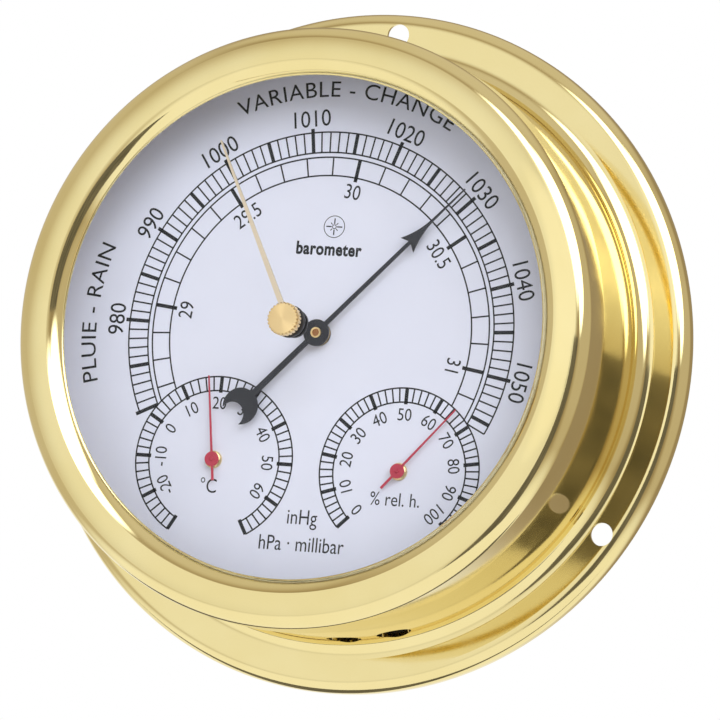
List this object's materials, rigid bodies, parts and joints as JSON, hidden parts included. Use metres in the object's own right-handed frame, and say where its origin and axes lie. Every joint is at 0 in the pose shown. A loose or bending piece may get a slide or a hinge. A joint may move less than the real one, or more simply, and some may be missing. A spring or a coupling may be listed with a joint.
{
  "type": "aneroid barometer",
  "caption": "Round brass wall barometer: flanged drum case, domed glass with a turnable reference hand, capsule movement, and small thermometer and hygrometer dials.",
  "frame": {"origin": "centre of the flat back, on the wall plane, on the axis of the drum", "axes": "+Z is 12 o'clock, the dial faces -Y, +X is 3 o'clock; +Y points into the wall"},
  "size_m": [0.15, 0.0523, 0.15],
  "materials": {
    "polished_brass": "polished and lacquered",
    "satin_brass": "turned, satin",
    "bronze": "turned",
    "knob_brass": "fine turned",
    "glass": "clear mineral glass",
    "dial_white": "matt white enamel",
    "black_paint": "satin black",
    "red_paint": "satin red",
    "steel": "brushed",
    "screw_steel": "zinc plated",
    "spring_steel": "blued",
    "capsule_metal": "nickel silver",
    "black_polymer": "matt",
    "rubber": "matt",
    "back_plate": "matt dark grey"
  },
  "bodies": {
    "case": {"case_body": "polished_brass", "bezel": "polished_brass", "glass": "glass", "glass_gasket": "rubber", "glass_retaining_ring": "satin_brass", "dial_spacer": "dial_white", "dial_plate": "dial_white", "dial_seat_ring": "satin_brass", "cover_lugs": "satin_brass", "back_cover": "back_plate", "back_cover_screws": "screw_steel", "glass_bush": "black_polymer", "hairspring": "spring_steel", "hairspring_stud": "steel", "rocker_brackets": "satin_brass", "bracket_screws": "screw_steel", "capsule_lower": "capsule_metal", "capsule_upper": "capsule_metal", "capsule_stud": "satin_brass", "trim_leaf": "spring_steel", "trim_leaf_screw": "screw_steel", "movement_base": "satin_brass", "movement_feet": "satin_brass", "movement_screws": "screw_steel", "movement_pillars": "satin_brass", "movement_bridge": "satin_brass", "bridge_screws": "screw_steel", "bridge_bush": "knob_brass", "arbor_cock": "satin_brass", "cock_screw": "screw_steel", "thermometer_boss": "knob_brass", "thermometer_cup": "satin_brass", "thermometer_coil": "spring_steel", "hygrometer_boss": "knob_brass", "hygrometer_cup": "satin_brass", "hygrometer_coil": "spring_steel"},
    "set_hand_group": {"set_hand": "knob_brass", "set_knob": "knob_brass", "set_shaft": "bronze", "set_spring_washer": "spring_steel"},
    "pressure_pointer": {"main_pointer": "black_paint", "pointer_hub": "knob_brass", "pointer_arbor": "bronze", "pinion": "satin_brass", "hairspring_collet": "satin_brass"},
    "sector_group": {"sector": "satin_brass", "sector_arbor": "steel"},
    "link_rod": {"link": "steel"},
    "rocker": {"rocker_shaft": "steel", "rocker_arm": "steel", "rocker_tail": "steel"},
    "capsule_lift": {"capsule_post": "satin_brass"},
    "thermometer_group": {"thermometer_pointer": "red_paint", "thermometer_arbor": "steel", "thermometer_collet": "satin_brass"},
    "hygrometer_group": {"hygrometer_pointer": "red_paint", "hygrometer_arbor": "steel", "hygrometer_collet": "satin_brass"},
    "trim_screw": {"adjusting_screw": "screw_steel"}
  },
  "joints": [
    {"name": "set_hand_turn", "type": "hinge", "parent": "case", "child": "set_hand_group", "pos_m": [0, -0.048, 0], "axis": [0, 1, 0], "continuous": true},
    {"name": "pressure_pointer_turn", "type": "hinge", "parent": "case", "child": "pressure_pointer", "pos_m": [0, -0.022, 0], "axis": [0, 1, 0], "range_deg": [-159.03, 73.17], "stiffness_Nm_per_rad": 0.002, "deforming": ["hairspring"]},
    {"name": "sector_turn", "type": "hinge", "parent": "case", "child": "sector_group", "pos_m": [-0.014, -0.018, 0.014], "axis": [0, 1, 0], "range_deg": [-7.5, 16.2]},
    {"name": "link_swing", "type": "hinge", "parent": "sector_group", "child": "link_rod", "pos_m": [-0.0115, -0.02, 0.014], "axis": [0, 1, 0], "range_deg": [-16.2, 7.5]},
    {"name": "rocker_tilt", "type": "hinge", "parent": "case", "child": "rocker", "pos_m": [0, -0.0125, -0.009], "axis": [1, 0, 0], "range_deg": [-2.6, 5.5]},
    {"name": "capsule_breathe", "type": "slide", "parent": "case", "child": "capsule_lift", "axis": [0, 1, 0], "range_m": [-0.00086, 0.0004], "deforming": ["capsule_upper"]},
    {"name": "thermometer_turn", "type": "hinge", "parent": "case", "child": "thermometer_group", "pos_m": [-0.02125, -0.0305, -0.02856], "axis": [0, 1, 0], "range_deg": [-141.6, 158.4], "stiffness_Nm_per_rad": 0.0005, "deforming": ["thermometer_coil"]},
    {"name": "hygrometer_turn", "type": "hinge", "parent": "case", "child": "hygrometer_group", "pos_m": [0.02125, -0.0305, -0.02856], "axis": [0, 1, 0], "range_deg": [-175.23, 94.77], "stiffness_Nm_per_rad": 0.0005, "deforming": ["hygrometer_coil"]},
    {"name": "adjusting_screw_turn", "type": "hinge", "parent": "case", "child": "trim_screw", "pos_m": [0, -0.002, -0.0205], "axis": [0, 1, 0], "range_deg": [-180, 180]}
  ],
  "couplings": [
    {"joint": "sector_turn", "follows": "pressure_pointer_turn", "ratio": -0.1},
    {"joint": "link_swing", "follows": "pressure_pointer_turn", "ratio": 0.1},
    {"joint": "rocker_tilt", "follows": "pressure_pointer_turn", "ratio": -0.033333},
    {"joint": "capsule_breathe", "follows": "pressure_pointer_turn", "m_per_rad": 0.0003}
  ]
}
